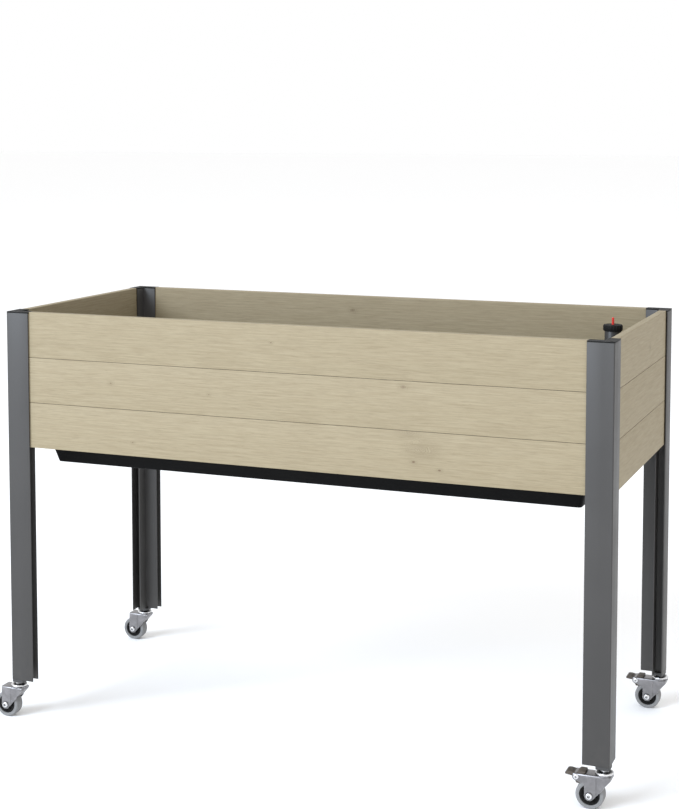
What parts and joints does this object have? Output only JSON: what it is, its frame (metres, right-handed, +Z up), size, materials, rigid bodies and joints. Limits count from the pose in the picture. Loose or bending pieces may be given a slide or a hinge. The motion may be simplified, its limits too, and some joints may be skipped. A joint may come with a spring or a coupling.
{
  "type": "raised planter on legs",
  "caption": "Raised wooden planter box on tall extruded corner legs with a water tray below and swivel castors, brakes at one end.",
  "frame": {"origin": "middle of the whole outline on the floor, castors included; 16.5 mm to -X of the box's own middle because all four castors trail to -X", "axes": "+X along the planter towards its braked end, +Z up, -Y the front"},
  "size_m": [1.2386, 0.5496, 0.81],
  "materials": {
    "coated_aluminium": "dark grey satin powder coat on extruded aluminium",
    "black_plastic": "black moulded polypropylene, low sheen",
    "dark_plastic": "dark grey moulded plastic",
    "spruce": "pale planed spruce, fine straight grain, a few small knots",
    "mill_aluminium": "mill-finish extruded aluminium",
    "zinc_steel": "bright zinc-plated pressed steel",
    "grey_rubber": "grey thermoplastic rubber",
    "hub_plastic": "black moulded plastic with a light gloss",
    "pedal_plastic": "brown-grey moulded plastic",
    "tube_plastic": "dark grey tube plastic",
    "float_plastic": "red float plastic"
  },
  "bodies": {
    "frame": {"leg_front_left": "coated_aluminium", "leg_cap_front_left": "black_plastic", "castor_socket_front_left": "dark_plastic", "leg_front_right": "coated_aluminium", "leg_cap_front_right": "black_plastic", "castor_socket_front_right": "dark_plastic", "leg_rear_left": "coated_aluminium", "leg_cap_rear_left": "black_plastic", "castor_socket_rear_left": "dark_plastic", "leg_rear_right": "coated_aluminium", "leg_cap_rear_right": "black_plastic", "castor_socket_rear_right": "dark_plastic", "board_front_bottom": "spruce", "board_front_middle": "spruce", "board_front_top": "spruce", "board_right_bottom": "spruce", "board_right_middle": "spruce", "board_right_top": "spruce", "board_rear_bottom": "spruce", "board_rear_middle": "spruce", "board_rear_top": "spruce", "board_left_bottom": "spruce", "board_left_middle": "spruce", "board_left_top": "spruce", "tray_ledge_front": "mill_aluminium", "tray_ledge_right": "mill_aluminium", "tray_ledge_rear": "mill_aluminium", "tray_ledge_left": "mill_aluminium", "water_tray": "black_plastic", "soil_deck_left": "dark_plastic", "soil_deck_right": "dark_plastic", "fill_tube": "tube_plastic", "overflow_pipe": "tube_plastic", "castor_stem_front_left": "zinc_steel", "castor_stem_front_right": "zinc_steel", "castor_stem_rear_left": "zinc_steel", "castor_stem_rear_right": "zinc_steel"},
    "swivel_front_left": {"castor_fork_front_left": "zinc_steel", "wheel_axle_front_left": "zinc_steel"},
    "wheel_front_left": {"wheel_hub_front_left": "hub_plastic", "wheel_tyre_front_left": "grey_rubber"},
    "swivel_front_right": {"castor_fork_front_right": "zinc_steel", "wheel_axle_front_right": "zinc_steel", "brake_pin_front_right": "zinc_steel"},
    "wheel_front_right": {"wheel_hub_front_right": "hub_plastic", "wheel_tyre_front_right": "grey_rubber"},
    "pedal_front_right": {"brake_pedal_front_right": "pedal_plastic"},
    "swivel_rear_left": {"castor_fork_rear_left": "zinc_steel", "wheel_axle_rear_left": "zinc_steel"},
    "wheel_rear_left": {"wheel_hub_rear_left": "hub_plastic", "wheel_tyre_rear_left": "grey_rubber"},
    "swivel_rear_right": {"castor_fork_rear_right": "zinc_steel", "wheel_axle_rear_right": "zinc_steel", "brake_pin_rear_right": "zinc_steel"},
    "wheel_rear_right": {"wheel_hub_rear_right": "hub_plastic", "wheel_tyre_rear_right": "grey_rubber"},
    "pedal_rear_right": {"brake_pedal_rear_right": "pedal_plastic"},
    "fill_cap": {"fill_cap": "black_plastic"},
    "level_float": {"level_float": "float_plastic"},
    "drain_plug": {"drain_plug": "grey_rubber"}
  },
  "joints": [
    {"name": "swivel_front_left", "type": "hinge", "parent": "frame", "child": "swivel_front_left", "pos_m": [-0.5703, -0.2573, 0.062], "axis": [0, 0, 1], "continuous": true},
    {"name": "wheel_spin_front_left", "type": "hinge", "parent": "swivel_front_left", "child": "wheel_front_left", "pos_m": [-0.5943, -0.2573, 0.025], "axis": [0, 1, 0], "continuous": true},
    {"name": "swivel_front_right", "type": "hinge", "parent": "frame", "child": "swivel_front_right", "pos_m": [0.6033, -0.2573, 0.062], "axis": [0, 0, 1], "continuous": true},
    {"name": "wheel_spin_front_right", "type": "hinge", "parent": "swivel_front_right", "child": "wheel_front_right", "pos_m": [0.5793, -0.2573, 0.025], "axis": [0, 1, 0], "continuous": true},
    {"name": "brake_front_right", "type": "hinge", "parent": "swivel_front_right", "child": "pedal_front_right", "pos_m": [0.5563, -0.2573, 0.056], "axis": [0, -1, 0], "range_deg": [0, 12]},
    {"name": "swivel_rear_left", "type": "hinge", "parent": "frame", "child": "swivel_rear_left", "pos_m": [-0.5703, 0.2573, 0.062], "axis": [0, 0, 1], "continuous": true},
    {"name": "wheel_spin_rear_left", "type": "hinge", "parent": "swivel_rear_left", "child": "wheel_rear_left", "pos_m": [-0.5943, 0.2573, 0.025], "axis": [0, 1, 0], "continuous": true},
    {"name": "swivel_rear_right", "type": "hinge", "parent": "frame", "child": "swivel_rear_right", "pos_m": [0.6033, 0.2573, 0.062], "axis": [0, 0, 1], "continuous": true},
    {"name": "wheel_spin_rear_right", "type": "hinge", "parent": "swivel_rear_right", "child": "wheel_rear_right", "pos_m": [0.5793, 0.2573, 0.025], "axis": [0, 1, 0], "continuous": true},
    {"name": "brake_rear_right", "type": "hinge", "parent": "swivel_rear_right", "child": "pedal_rear_right", "pos_m": [0.5563, 0.2573, 0.056], "axis": [0, -1, 0], "range_deg": [0, 12]},
    {"name": "fill_cap_lift", "type": "slide", "parent": "frame", "child": "fill_cap", "axis": [0, 0, 1], "range_m": [0, 0.06]},
    {"name": "float_rise", "type": "slide", "parent": "frame", "child": "level_float", "axis": [0, 0, 1], "range_m": [0, 0.028]},
    {"name": "drain_plug_pull", "type": "slide", "parent": "frame", "child": "drain_plug", "axis": [0, 0, -1], "range_m": [0, 0.03]}
  ]
}
